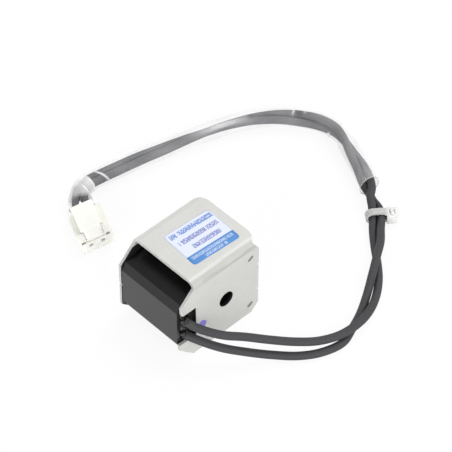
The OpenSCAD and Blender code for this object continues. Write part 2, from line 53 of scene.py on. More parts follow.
# Routes of the leads: the root and free run of each lead, then the run that the pair shares
LEAD_ROOT_X = -15.5
LEAD_ROOT_Y = (-3.0, -14.1)
UPPER_ROOT_Z, LOWER_ROOT_Z = 18.5, 11.5
UPPER_FREE = [(-13.5, -17.5, 16.4), (-8.6, -25, 14.7), (-1, -29.8, 11.5), (6.1, -34.8, 8.5),
              (13.2, -40.4, 6.5), (20, -44.8, 5.2), (27.5, -47.9, 4.9), (36.3, -48.6, 4.8),
              (43.3, -46.8, 3.6), (51.9, -42.4, 2), (58.9, -37, 1.6), (64.2, -31.3, 1.6),
              (68.75, -25.65, 1.6), (74.35, -19.25, 1.95)]
LOWER_FREE = [(-13.5, -18.5, 10.5), (-8.6, -25.1, 8), (-2.2, -30.3, 5), (5.2, -36.4, 2.5),
              (12.6, -43, 1.6), (19.1, -47.1, 1.6), (28.1, -49.2, 1.6), (34.9, -47, 1.6),
              (42.2, -44, 1.6), (49.7, -39.9, 2.3), (57.4, -35.2, 4.2), (64.8, -30.4, 4.9),
              (70.7, -26.4, 4.4), (76.27, -21.25, 3.3)]
PAIR_ROUTE = [(80.4, -15.4, 2.7), (83, -12, 3.1), (84.6, -8.7, 3.6), (86.9, -5.8, 3.9), (88.7, -2.5, 4),
              (92.7, 4.6, 4), (96, 12.3, 4), (99, 19.4, 4), (100.5, 26, 4), (99, 33, 4), (95, 40, 4),
              (89.3, 46.4, 4), (81.5, 52, 4), (73, 56, 4), (64, 59, 4), (55, 61.5, 4), (45.5, 63.7, 4),
              (36, 66, 4), (27, 67.7, 4), (19, 69.1, 4), (13.8, 69.7, 4), (9.6, 68.6, 4.1), (6.6, 66.4, 4.2),
              (4.6, 63.9, 4.4), (3.2, 61.3, 4.5)]
# The pair's turn about that route in degrees, and each lead's distance from it, wider at the last points
PAIR_TURN = [180, 150, 115, 76, 36, -4, -38, -69, -93, -118, -149, -176, -200, -217, -226, -213, -198,
             -190, -186, -185, -185, -187, -190, -192, -193.5]
PAIR_OFFSET = 1.55
PAIR_SPLAY = (1.75, 2.1)

# The connector's rear face: its place, its turn, its lean onto the left rail, and where the leads go in
PLUG_AT = (2.87, 59.08)
PLUG_TURN, PLUG_LEAN = np.radians(23.4), np.radians(13.5)
PLUG_RAIL = 6.55
PLUG_PITCH = 4.7
PLUG_CAVITY_Z = 3.1
LEAD_IN_PLUG = (-0.5, -3.4)

# The leads' mesh: spacing of the rings, sides of a ring, step of the stated path in rings, run at which a
# lead leaves the moulding, width of the painted shade in the groove between the leads, and rings over which
# the painted light inside the sleeve comes in
LEAD_SPACING = 0.8
LEAD_SIDES = 20
GROOVE_SHADE_WIDTH = 0.8
SLEEVE_LIGHT_RINGS = 4

# The sleeve: its first point of the pair's route, its gap to the connector, its mesh and its least height
SLEEVE_FIRST = 4
SLEEVE_GAP = 1.7
SLEEVE_SPACING = 0.4
SLEEVE_SIDES = 64
SLEEVE_LOWEST = 0.05
# Its mouth: moved aside, drawn forward, swung and flared, the last two over a run of their own, then where
# the flare gives way to the slack tube and over which run
MOUTH_SHIFT = np.array([0.3, -0.3, 0.0])
MOUTH_REACH = 0.8
MOUTH_SWING, SWING_RUN = np.radians(15), 4
MOUTH_FLARE, FLARE_RUN = 0.09, 3
MOUTH_START, MOUTH_RISE = 1.0, 3.0
# Its rims: width, cover, and shade at the mouth, as a share of the shade at the far end
RIM_WIDTH = 0.35
RIM_COVER = 0.6
MOUTH_RIM = 0.6
# Its outline: the ripple of its slack, and near the connector an ellipse, with its half axes as shares of the
# radius, its start before the far end and the run of the change
SLACK = 0.07
OVAL_LONG, OVAL_SHORT = 1.3, 0.66
OVAL_START, OVAL_RISE = 9.0, 7.0
# Its dents: run (before the far end where negative), depth and width
SLEEVE_DENTS = ((28, 0.9, 3.5), (36, 0.6, 3.0), (55, 0.5, 4.0), (92, 0.35, 6.0),
                (-19, 0.7, 3.0), (-12, 0.5, 2.5))
# Its cover at shares of the run, the ripple of that, and its least and most
THIN_COVER = ((0, 0.3, 1), (0.11, 0.064, 0.06))
COVER_RIPPLE = 0.015
COVER_LIMITS = (0.02, 0.9)
# Its creases, the last of them a long painted highlight streak: run (as for dents), skew, turn of the middle,
# reach in turn, width and strength
CREASES_AND_HIGHLIGHT = ((-20.0, -1.9, 2.2, 1.2, 0.38, 0.55), (-13.9, 0.3, 2.1, 1.6, 0.4, 0.35),
                  (-7.5, 2.5, 2.3, 0.6, 0.35, 0.45), (32.5, 1.0, 3.4, 0.5, 0.55, 0.75),
                  (49.5, 0.5, 1.5, 0.6, 0.35, 0.3), (45.2, -0.6, 1.3, 0.4, 0.5, 0.2),
                  (47.4, 0.0, 1.7, 0.5, 1.2, -0.05), (66.5, 0.0, 2.0, 0.3, 1.2, -0.05),
                  (78.5, 0.0, 2.15, 0.27, 8.5, 0.28))
# Its folded stretch, before the far end: where it starts and over which run, the same for its end, its
# cover and the loss of that per millimetre, then where the film clears again, over which run and how much
FOLD_START, FOLD_RISE = 14.2, 0.8
FOLD_END, FOLD_FALL = 6.0, 3.0
FOLD_COVER, FOLD_FADE = 0.47, 0.022
CLEAR_START, CLEAR_RISE, CLEAR_SHARE = 4.5, 1.5, 0.75

# The tie: the level direction across the leads, and along it the tail's place and the start of the head,
# where the band's painted shade gives way to the lit head
TIE_AXIS = (0.794, -0.607)
TIE_TAIL = 78.6
TIE_HEAD = (76.0, 77.5)
# Boxes that a finish marks: the middle and half the size, along the axes that the mask names. The tie's slits
# and the contact mouths get painted light; the punch marks, the rear leg, the notch's wall and the
# connector's windows get painted shade; the pocket gets only roughness.
TIE_SLITS_LIT = ((0.9, 36.57, 3.98), (0.22, 1.4, 0.3))
SHADED_PUNCH_MARKS = ((15.0, -15.25, 16.5), (2.0, 0.25, 15.5))
SHADED_REAR_LEG = ((14.4, 16.5), (0.15, 15.5))
SHADED_NOTCH_WALL = ((-11.2, -14.9, 16.1), (0.25, 0.55, 7.3))
POCKET = ((-14.2, 16.1), (3.5, 7.2))
SHADED_WINDOWS = ((4.75, -15.6, 5.57), (0.8, 0.88, 0.62))
LIT_CONTACT_MOUTHS = ((PLUG_PITCH / 2, -15.98, 3.1), (0.75, 0.6, 0.75))
# Where a finish changes: the screw hole, whose wall gets painted shade, the front bend, which gets painted
# shade with draw marks, the rear leg's left edge, where its painted shade fades, and the pocket's back
SCREW_HOLE_X, SCREW_HOLE_Z, SCREW_HOLE_R = 3.2, 16.5, 3.2
BEND_Y, BEND_Z = (-12.8, -14.2), (31.8, 33.2)
REAR_LEG_X = (-19.2, -18.0)
POCKET_BACK = -9.5

# The ink dot: its middle, mean radius, stretch along z, slant, height and the face that it lies on
DOT_X, DOT_Z = -8.0, 12.3
DOT_RADIUS, DOT_STRETCH, DOT_SLANT = 1.65, 1.15, 0.3
DOT_HEIGHT, DOT_FACE = 0.012, -15.602
# Beads of resin round the roots of the leads: name, middle, radii and phase of the lumps
RESIN_BEADS = (("resin_upper", (-15.6, -13.2, 18.6), (2.05, 3.1, 2.3), 0.0),
               ("resin_lower", (-15.7, -13.0, 11.6), (1.95, 3.0, 2.0), 2.0),
               ("resin_middle", (-15.9, -12.3, 15.1), (1.7, 2.4, 2.2), 4.0))

# The label: its size and corner, the heights of its two faces, its middle and turn, and the dip of its edge
LABEL_LENGTH, LABEL_WIDTH, LABEL_CORNER = 20.8, 17.4, 1.2
LABEL_TOP, LABEL_BOTTOM = 35.915, 35.803
LABEL_X, LABEL_Y, LABEL_TURN = 5.0, -1.2, np.radians(-3)
LABEL_WAVE = 0.02
LABEL_RINGS = 16
# Printed rows, as shares of the label: middle, half height, start, end and ink, then the same on the band
PAPER_ROWS = ((0.86, 0.068, 0.06, 0.97, (0.05, 0.17, 0.52)), (0.625, 0.065, 0.1, 0.97, (0.11, 0.14, 0.43)),
              (0.4, 0.065, 0.25, 0.86, (0.12, 0.15, 0.45)))
BAND_ROWS = ((0.165, 0.042, 0.06, 0.95), (0.065, 0.038, 0.28, 0.76))
BAND_EDGE = (0.245, 0.255)

# The stage, in metres but for the camera's sensor and lens, with the lamps' names, places, sizes and watts
SENSOR_WIDTH, LENS, CLIP_END = 36, 193.8, 20
CAMERA_AT = (-0.38854, -0.42305, 0.65418)
AZIMUTH, ELEVATION, ROLL = np.radians([-43.855, 46.728, 0.267])
FLOOR_HALF, FLOOR_LEVEL, FLOOR_WHITE = 6.0, -0.00002, 0.9
WALL_SIDES, WALL_RADIUS, WALL_HEIGHT = 96, 5.9, 1.0
LAMPS = (("key", (-0.2, -1.15, 0.5), 0.9, 7.8), ("top", (0.75, 0.1, 1.15), 1.2, 9.5),
         ("fill", (-1.15, -0.35, 0.5), 0.8, 10.0), ("back", (0.3, 1.2, 0.35), 0.8, 4.0))
LAMPS_AIM = np.array([0.03, 0.0, 0.02])
# Light of the sky: its direction, and its strength over a range of the share that lies that way
SKY_TOWARDS = (0.8, -0.55, 0.25)
SKY_RANGE, SKY_STRENGTH = (-0.6, 0.4), (0.03, 0.66)


# Curves and surfaces

def unit(v):
    """Each row divided by its own length."""
    return v / np.linalg.norm(v, axis=-1, keepdims=True)


def smooth_step(x):
    """Zero up to 0, one from 1 on, and x x (3 - 2 x) between."""
    x = np.clip(x, 0, 1)
    return x * x * (3 - 2 * x)


def round_angles(sides):
    """Angles of the points of a ring, evenly spaced over one turn."""
    return np.linspace(0, 2 * np.pi, sides, endpoint=False)


def run_along(path):
    """Distance along a path to each of its points: the running sum of the steps between them."""
    return np.concatenate([[0.0], np.cumsum(np.linalg.norm(np.diff(path, axis=0), axis=1))])


def frames(path):
    """At each point: the tangent, the level direction to its right, and the direction square to both."""
    along = unit(np.gradient(path, axis=0))
    beside = unit(np.cross(along, UP))
    return along, beside, np.cross(beside, along)


def spokes(beside, above, turn):
    """Directions round each point of a path: cos turn . beside + sin turn . above."""
    return np.cos(turn)[None, :, None] * beside[:, None] + np.sin(turn)[None, :, None] * above[:, None]


def smooth_path(points, spacing, floor=0.0):
    """A curve through all the points, spaced evenly.

    Between two points it is the cubic that has both points and their slopes, where a slope is the
    parabola's through the point and its two neighbours, and the parameter grows by the distance to the
    power of 0.75. Heights below floor are lifted to it.
    """
    steps_between = 32
    p = np.asarray(points, float)
    t = np.concatenate([[0.0], np.cumsum(np.linalg.norm(np.diff(p, axis=0), axis=1) ** 0.75)])
    slope = np.gradient(p, t, axis=0, edge_order=2)
    u = np.linspace(0, 1, steps_between, endpoint=False)[None, :, None]
    h = np.diff(t)[:, None, None]
    p0, p1, m0, m1 = p[:-1, None], p[1:, None], slope[:-1, None], slope[1:, None]
    curve = ((2 * u**3 - 3 * u**2 + 1) * p0 + (u**3 - 2 * u**2 + u) * h * m0
             + (3 * u**2 - 2 * u**3) * p1 + (u**3 - u**2) * h * m1)
    fine = np.vstack([curve.reshape(-1, 3), p[-1:]])
    run = run_along(fine)
    even = np.linspace(0, run[-1], max(int(round(run[-1] / spacing)), 2) + 1)
    path = np.stack([np.interp(even, run, fine[:, k]) for k in range(3)], axis=1)
    path[:, 2] = np.maximum(path[:, 2], floor)
    return path


def grid_faces(rows, cols, close_rows=False, close_cols=False):
    """Quads of a grid of rows x cols points, joined round the ends of either direction where asked."""
    index = np.arange(rows * cols).reshape(rows, cols)
    if close_rows:
        index = np.vstack([index, index[:1]])
    if close_cols:
        index = np.hstack([index, index[:, :1]])
    return np.stack([index[:-1, :-1], index[1:, :-1], index[1:, 1:], index[:-1, 1:]], axis=-1).reshape(-1, 4)


def capped_grid(rows, sides):
    """Faces of rings of points, joined round and along, with a flat face over the first and the last ring."""
    last = (rows - 1) * sides
    return [grid_faces(rows, sides, close_cols=True), range(sides), range(last + sides - 1, last - 1, -1)]


def tube(path, radius, sides):
    """A round tube with both ends shut: path + radius (cos turn . beside + sin turn . above).

    Gives its points, its faces and its map: run in centimetres, and share of a turn.
    """
    _, beside, above = frames(path)
    turn = round_angles(sides)
    points = path[:, None] + radius * spokes(beside, above, turn)
    uv = np.stack(np.broadcast_arrays(run_along(path)[:, None] / 10, turn[None, :] / (2 * np.pi)), axis=-1)
    return points.reshape(-1, 3), capped_grid(len(path), sides), uv.reshape(-1, 2)


def link_object(name, data):
    """A new object at the origin of the scene."""
    thing = bpy.data.objects.new(name, data)
    bpy.context.scene.collection.objects.link(thing)
    return thing


def add_piece(name, points, faces, uv=None):
    """A smooth mesh object in metres, from points in millimetres, that rides on the coil.

    Faces are arrays of quads, and ranges for single flat faces. They are turned outwards: the sum over
    triangles of corner . (corner x corner) has the volume's sign, and below zero every face is reversed.
    """
    points = np.asarray(points, float).reshape(-1, 3)
    quads = np.vstack([f for f in faces if isinstance(f, np.ndarray)])
    caps = [list(f) for f in faces if not isinstance(f, np.ndarray)]
    a, b, c, d = (points[quads[:, k]] for k in range(4))
    volume = np.einsum("ij,ij->", a, np.cross(b, c)) + np.einsum("ij,ij->", a, np.cross(c, d))
    for cap in caps:
        fan = points[cap]
        volume += np.einsum("j,ij->", fan[0], np.cross(fan[1:-1], fan[2:]))
    polygons = quads.tolist() + caps
    if volume < 0:
        polygons = [f[::-1] for f in polygons]
    mesh = bpy.data.meshes.new(name)
    mesh.from_pydata((points * MM).tolist(), [], polygons)
    if uv is not None:
        corner = np.empty(len(mesh.loops), np.int32)
        mesh.loops.foreach_get("vertex_index", corner)
        mesh.uv_layers.new(name="UVMap").uv.foreach_set("vector", np.asarray(uv, np.float32)[corner].ravel())
    mesh.polygons.foreach_set("use_smooth", np.full(len(mesh.polygons), True))
    mesh.update()
    piece = link_object(name, mesh)
    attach(piece, "coil")
    return piece


def store(piece, **values):
    """Keeps a number for each point of a piece, by name, for its material."""
    for name, numbers in values.items():
        kept = piece.data.attributes.new(name, "FLOAT", "POINT")
        kept.data.foreach_set("value", numbers.astype(np.float32).ravel())


def soften_edges(node, width, angle=35):
    """Rounds the sharp edges of a CAD node: its loose triangles are joined, flat areas become whole
    faces, and edges that turn more than angle get a small round."""
    node.modifiers.new("weld", "WELD").merge_threshold = 1e-6
    flat = node.modifiers.new("flat_faces", "DECIMATE")
    flat.decimate_type = "DISSOLVE"
    flat.angle_limit = np.radians(0.5)
    bevel = node.modifiers.new("edge_round", "BEVEL")
    bevel.width = width
    bevel.segments = 2
    bevel.limit_method = "ANGLE"
    bevel.angle_limit = np.radians(angle)
    bevel.miter_outer = "MITER_ARC"
    shade = node.modifiers.new("even_shade", "WEIGHTED_NORMAL")
    shade.keep_sharp = True
    shade.weight = 80
    return node


# Materials

class Graph:
    """A shader node tree with short ways to add nodes, constants and links."""

    def __init__(self, tree):
        self.tree = tree
        self.nodes = tree.nodes

    def feed(self, socket, value):
        """Links a socket, or sets a constant."""
        if isinstance(value, bpy.types.NodeSocket):
            self.tree.links.new(value, socket)
        else:
            socket.default_value = value

    def add(self, kind, **values):
        """A new node with its inputs fed by name."""
        node = self.nodes.new("ShaderNode" + kind)
        for name, value in values.items():
            self.feed(node.inputs[name.replace("_", " ")], value)
        return node

    def math(self, operation, *values, kind="Math"):
        """A number worked out from numbers or, by the kind VectorMath, from vectors."""
        node = self.nodes.new("ShaderNode" + kind)
        node.operation = operation
        for socket, value in zip(node.inputs, values):
            self.feed(socket, value)
        return node.outputs["Value"]

    def noise(self, place, scale, detail):
        """Noise between 0 and 1."""
        return self.add("TexNoise", Vector=place, Scale=scale, Detail=detail).outputs["Fac"]

    def ramp(self, value, low, high, to_low=0.0, to_high=1.0):
        """A value's range from low to high carried onto another range."""
        node = self.add("MapRange", Value=value, From_Min=low, From_Max=high, To_Min=to_low, To_Max=to_high)
        return node.outputs["Result"]

    def all_of(self, *masks):
        """The product of masks."""
        product = masks[0]
        for mask in masks[1:]:
            product = self.math("MULTIPLY", product, mask)
        return product

    def in_box(self, axes, box):
        """One where each axis lies within half the box's size of its middle, else zero."""
        return self.all_of(*(self.math("COMPARE", axis, middle * MM, half * MM)
                             for axis, middle, half in zip(axes, *box)))

    def mix(self, mask, a, b):
        """Colour from a to b, by a mask."""
        node = self.nodes.new("ShaderNodeMix")
        node.data_type = "RGBA"
        for socket, value in ((node.inputs["Factor"], mask), (node.inputs["A"], a), (node.inputs["B"], b)):
            self.feed(socket, (*value, 1) if isinstance(value, tuple) and len(value) == 3 else value)
        return node.outputs["Result"]

    def shades(self, mask, tone, low, high):
        """Colour between two shades of a tone, by a mask."""
        return self.mix(mask, tint(tone, low), tint(tone, high))


def metres(lengths):
    """Lengths in metres, from millimetres."""
    return tuple(length * MM for length in lengths)


def tint(tone, factor):
    """A colour made darker or lighter, channel by channel."""
    return tuple(min(c * factor, 1.0) for c in tone)


def shader_group(name, numbers, output, build):
    """A shared shader node group: made once, with a Vector input, named numbers and one output."""
    group = bpy.data.node_groups.get(name)
    if group is None:
        group = bpy.data.node_groups.new(name, "ShaderNodeTree")
        group.interface.new_socket(name="Vector", in_out="INPUT", socket_type="NodeSocketVector")
        for label, default in numbers.items():
            socket = group.interface.new_socket(name=label, in_out="INPUT", socket_type="NodeSocketFloat")
            socket.default_value = default
        group.interface.new_socket(name=output, in_out="OUTPUT", socket_type="NodeSocketFloat")
        graph = Graph(group)
        enter, leave = group.nodes.new("NodeGroupInput"), group.nodes.new("NodeGroupOutput")
        graph.feed(leave.inputs[output], build(graph, enter.outputs))
    return group


def mottle_group():
    """Soft clouds between 0 and 1: 0.55 of a large noise and 0.45 of one 5.3 times finer, with contrast."""
    def build(g, enter):
        large = g.noise(enter["Vector"], enter["Scale"], 3.0)
        small = g.noise(enter["Vector"], g.math("MULTIPLY", enter["Scale"], 5.3), 6.0)
        both = g.math("MULTIPLY_ADD", small, 0.45, g.math("MULTIPLY", large, 0.55))
        low = g.math("MULTIPLY", enter["Contrast"], 0.42)
        return g.ramp(both, low, g.math("SUBTRACT", 1.0, low))
    return shader_group("soft_mottle", {"Scale": 200.0, "Contrast": 0.5}, "Mask", build)


def grain_group():
    """Fine surface height: a noise plus 0.4 of the distance to the nearest of many scattered points."""
    def build(g, enter):
        cells = g.add("TexVoronoi", Vector=enter["Vector"], Scale=enter["Scale"]).outputs["Distance"]
        return g.math("MULTIPLY_ADD", cells, 0.4, g.noise(enter["Vector"], enter["Scale"], 4.0))
    return shader_group("fine_grain", {"Scale": 2000.0}, "Height", build)


def scratch_group():
    """Sparse hairline marks: where a stretched noise is within a hair of its middle, and a large noise
    allows it."""
    def build(g, enter):
        turned = g.add("Mapping", Vector=enter["Vector"], Rotation=(0.3, 0.9, 0.5), Scale=(1.0, 0.06, 0.25))
        lines = g.noise(turned.outputs[0], enter["Scale"], 2.0)
        off = g.math("ABSOLUTE", g.math("SUBTRACT", lines, 0.5))
        patches = g.noise(enter["Vector"], 90.0, 1.0)
        return g.all_of(g.ramp(off, 0.0, 0.006, 1.0, 0.0), g.ramp(patches, 0.55, 0.68))
    return shader_group("hairlines", {"Scale": 900.0}, "Mask", build)


def print_row_group():
    """One row of printed strokes that spell nothing: inside the row's box, where a fine upright noise is
    above its middle, with gaps where a slow noise along the row is low."""
    def build(g, enter):
        x, y, _ = g.add("SeparateXYZ", Vector=enter["Vector"]).outputs
        up = g.math("ABSOLUTE", g.math("SUBTRACT", y, enter["Centre"]))
        tall = g.ramp(up, g.math("MULTIPLY", enter["Half Height"], 0.85), enter["Half Height"], 1.0, 0.0)
        wide = g.all_of(g.math("GREATER_THAN", x, enter["Start"]), g.math("LESS_THAN", x, enter["End"]))
        shift = g.math("MULTIPLY", enter["Centre"], 7.0)
        upright = g.add("CombineXYZ", X=x, Y=g.math("MULTIPLY_ADD", y, 0.5, shift)).outputs[0]
        strokes = g.ramp(g.noise(upright, 48.0, 1.0), 0.38, 0.5)
        level = g.add("CombineXYZ", X=x, Y=shift).outputs[0]
        words = g.ramp(g.noise(level, 11.0, 0.0), 0.3, 0.36)
        return g.all_of(tall, wide, strokes, words)
    numbers = {"Centre": 0.5, "Half Height": 0.05, "Start": 0.05, "End": 0.95}
    return shader_group("print_row", numbers, "Mask", build)


class Finish(Graph):
    """One material: a Principled shader, its coordinates, and helpers that add its detail."""

    def __init__(self, name, metallic=0.0, specular=0.5, coordinates="Object"):
        self.material = bpy.data.materials.new(name)
        self.material.use_nodes = True
        super().__init__(self.material.node_tree)
        self.shader = self.nodes["Principled BSDF"]
        self.set(Metallic=metallic, Specular_IOR_Level=specular)
        self.place = self.nodes.new("ShaderNodeTexCoord").outputs[coordinates]

    def set(self, **values):
        """Feeds the shader's own sockets, by name."""
        for name, value in values.items():
            self.feed(self.shader.inputs[name.replace("_", " ")], value)

    def fed(self, name):
        """What feeds one of the shader's sockets so far."""
        return self.shader.inputs[name].links[0].from_socket

    def axes(self):
        """The three coordinates of the place."""
        return self.add("SeparateXYZ", Vector=self.place).outputs

    def stored(self, name):
        """A number that the piece's own mesh keeps for each point."""
        node = self.nodes.new("ShaderNodeAttribute")
        node.attribute_name = name
        return node.outputs["Fac"]

    def use(self, group, output, **values):
        """Places a shared group on the material's coordinates, with its own values, and gives its output."""
        node = self.nodes.new("ShaderNodeGroup")
        node.node_tree = group
        self.feed(node.inputs["Vector"], self.place)
        for name, value in values.items():
            self.feed(node.inputs[name.replace("_", " ")], value)
        return node.outputs[output]

    def clouds(self, scale):
        """The shared soft clouds."""
        return self.use(mottle_group(), "Mask", Scale=scale)

    def rough(self, mask, low, high):
        """Roughness between two values, by a mask."""
        self.set(Roughness=self.ramp(mask, 0.0, 1.0, low, high))

    def bump(self, height, strength, distance):
        """Bends the normal by a height, in metres of distance."""
        bump = self.add("Bump", Strength=strength, Distance=distance, Height=height)
        self.set(Normal=bump.outputs["Normal"])

    def grain(self, scale, strength, distance):
        """The shared fine grain, as a bump."""
        self.bump(self.use(grain_group(), "Height", Scale=scale), strength, distance)

    def put_on(self, *pieces):
        """The only material of each piece."""
        for piece in pieces:
            piece.data.materials.clear()
            piece.data.materials.append(self.material)


def mottled(name, tone, roughness, spread=0.08, scale=200.0, grain=2500.0, strength=0.15, distance=0.00004,
            sheen=(0.9, 1.12), **shader):
    """A finish with soft clouds in its colour and roughness, and a fine grain.

    The colour goes from 1 - spread to 1 + spread times the tone, and the roughness between the two
    shares of itself that sheen gives.
    """
    finish = Finish(name, **shader)
    mask = finish.clouds(scale)
    finish.set(Base_Color=finish.shades(mask, tone, 1 - spread, 1 + spread))
    finish.rough(mask, roughness * sheen[0], roughness * sheen[1])
    finish.grain(grain, strength, distance)
    return finish


# Settings

class CoilSizes(bpy.types.PropertyGroup):
    """Sizes of the flexible pieces and the small rounds."""

    lead_diameter: bpy.props.FloatProperty(
        name="Lead diameter", description="Over the insulation", default=0.0031, unit="LENGTH")
    sleeve_diameter: bpy.props.FloatProperty(
        name="Sleeve diameter", description="Outside of the clear sleeve", default=0.0078, unit="LENGTH")
    sleeve_wall: bpy.props.FloatProperty(
        name="Sleeve wall", description="Thickness of the clear sleeve", default=0.00035, unit="LENGTH")
    sheet_edge: bpy.props.FloatProperty(
        name="Sheet edge", description="Round on the yoke's edges", default=0.00018, unit="LENGTH")
    moulding_edge: bpy.props.FloatProperty(
        name="Moulding edge", description="Round on the moulding's edges", default=0.0004, unit="LENGTH")
    plug_edge: bpy.props.FloatProperty(
        name="Connector edge", description="Round on the connector's edges", default=0.0002, unit="LENGTH")
    tie_edge: bpy.props.FloatProperty(
        name="Tie edge", description="Round on the cable tie's edges", default=0.0002, unit="LENGTH")


class CoilColours(bpy.types.PropertyGroup):
    """Colours of the finishes."""

    zinc: bpy.props.FloatVectorProperty(
        name="Zinc", description="Plated sheet of the yoke", default=(0.555, 0.555, 0.535), subtype="COLOR")
    moulding: bpy.props.FloatVectorProperty(
        name="Moulding", description="Resin of the coil", default=(0.0026, 0.0025, 0.0027), subtype="COLOR")
    lead: bpy.props.FloatVectorProperty(
        name="Leads", description="Insulation of the leads", default=(0.042, 0.042, 0.0455), subtype="COLOR")
    film: bpy.props.FloatVectorProperty(
        name="Sleeve", description="Clear tube over the leads", default=(0.96, 0.96, 0.97), subtype="COLOR")
    tie: bpy.props.FloatVectorProperty(
        name="Tie", description="Nylon of the cable tie", default=(0.7, 0.7, 0.69), subtype="COLOR")
    plug: bpy.props.FloatVectorProperty(
        name="Connector", description="Nylon of the connector", default=(0.965, 0.965, 0.88), subtype="COLOR")
    paper: bpy.props.FloatVectorProperty(
        name="Label", description="Paper of the label", default=(0.66, 0.7, 0.82), subtype="COLOR")
    band: bpy.props.FloatVectorProperty(
        name="Label band", description="Band on the label", default=(0.055, 0.215, 0.54), subtype="COLOR")
    ink: bpy.props.FloatVectorProperty(
        name="Ink mark", description="Ink dot on the yoke", default=(0.2, 0.17, 0.62), subtype="COLOR")


def sizes():
    """The scene's sizes, in metres."""
    return bpy.context.scene.coil_sizes


def colour(name):
    """One of the scene's colours."""
    return tuple(getattr(bpy.context.scene.coil_colours, name))


# Routes

def pair_side(turn):
    """One lead of the pair: the shared route moved aside by the offset, at each point's turn, and further
    at the last points, where the leads part for the connector."""
    route = np.array(PAIR_ROUTE, float)
    _, beside, above = frames(route)
    angle = np.radians(np.array(PAIR_TURN) + turn)[:, None]
    offset = np.append(np.full(len(route) - len(PAIR_SPLAY), PAIR_OFFSET), PAIR_SPLAY)[:, None]
    return route + offset * (np.cos(angle) * beside + np.sin(angle) * above)


def in_plug(x, y, z):
    """A point given from the middle of the connector's rear face, leaned onto the left rail and turned."""
    level = x * np.cos(PLUG_LEAN) - z * np.sin(PLUG_LEAN)
    return np.array([PLUG_AT[0] + level * np.cos(PLUG_TURN) + y * np.sin(PLUG_TURN),
                     PLUG_AT[1] - level * np.sin(PLUG_TURN) + y * np.cos(PLUG_TURN),
                     (PLUG_RAIL + x) * np.sin(PLUG_LEAN) + z * np.cos(PLUG_LEAN)])


def lead_points(root_z, free, turn, side):
    """All the points of one lead, from its end in the moulding to its end in the connector."""
    root = [(LEAD_ROOT_X, y, root_z) for y in LEAD_ROOT_Y]
    end = [in_plug(side * PLUG_PITCH / 2, y, PLUG_CAVITY_Z) for y in LEAD_IN_PLUG]
    return np.vstack([root, free, pair_side(turn), end])


# Pieces

def aimed(right, above, back, at):
    """A placement from its three axes and its origin."""
    return Matrix([*np.column_stack([right, above, back, at]).tolist(), (0, 0, 0, 1)])


